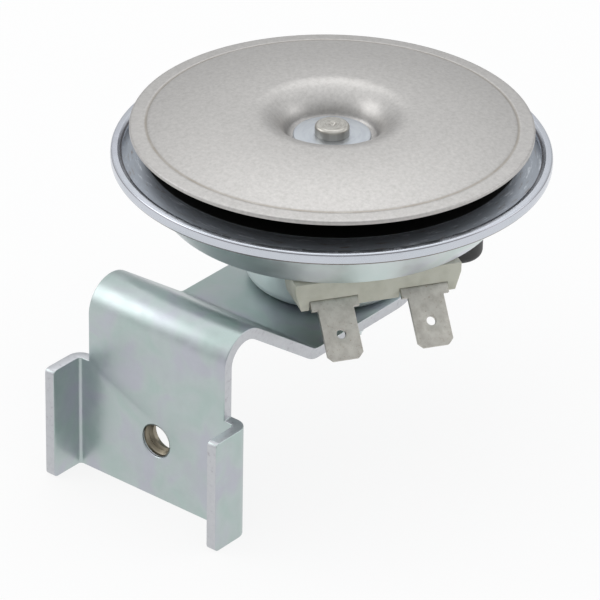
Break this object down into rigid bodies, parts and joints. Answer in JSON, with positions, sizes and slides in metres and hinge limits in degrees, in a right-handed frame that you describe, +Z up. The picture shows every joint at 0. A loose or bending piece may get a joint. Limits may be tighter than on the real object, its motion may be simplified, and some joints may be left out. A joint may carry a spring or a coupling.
{
  "type": "car horn",
  "caption": "Electric disc horn: drawn steel bowl and coil drum, rolled rim, resonator disc on a vibrating diaphragm, tab terminals, folded steel bracket with a tapped hole.",
  "frame": {"origin": "centre of the bracket's tapped mounting hole, at the plate's front face", "axes": "+Y from the mounting plate back to the horn, +Z up the horn's axis, out through the resonator disc"},
  "size_m": [0.076, 0.0907, 0.0557],
  "materials": {
    "zinc_steel": "bright zinc plating, clear passivated",
    "disc_steel": "satin zinc plating",
    "nickel_steel": "nickel plating",
    "black_lacquer": "black lacquer on spring steel",
    "tinned_brass": "tin plating on brass",
    "spring_bronze": "rolled strip",
    "copper": "enamelled copper wire",
    "tungsten": "ground",
    "cream_plastic": "moulded nylon",
    "black_plastic": "moulded",
    "fibre": "vulcanised fibre",
    "ceramic": "coated ceramic"
  },
  "bodies": {
    "casing": {"bracket": "zinc_steel", "housing": "zinc_steel", "diaphragm_gasket": "fibre", "diaphragm": "black_lacquer", "pole_stud": "zinc_steel", "coil_bobbin": "black_plastic", "coil_winding": "copper", "terminal_block": "cream_plastic", "terminal_blade_left": "tinned_brass", "terminal_blade_right": "tinned_brass", "terminal_rivets": "tinned_brass", "contact_base": "fibre", "fixed_contact_arm": "nickel_steel", "leaf_insulator": "fibre", "contact_leaf": "spring_bronze", "leaf_bead": "cream_plastic", "contact_points": "tungsten", "spark_resistor": "ceramic", "adjusting_screw": "nickel_steel", "adjuster_cap": "black_plastic", "lock_washer": "zinc_steel", "bracket_nut": "zinc_steel"},
    "vibrator": {"armature": "nickel_steel", "disc_spacer": "nickel_steel", "resonator_disc": "disc_steel", "disc_washer": "nickel_steel"}
  },
  "joints": [
    {"name": "disc_vibration", "type": "slide", "parent": "casing", "child": "vibrator", "axis": [0, 0, 1], "range_m": [-0.0003, 0.0003], "stiffness_N_per_m": 8000, "deforming": ["diaphragm"]}
  ]
}
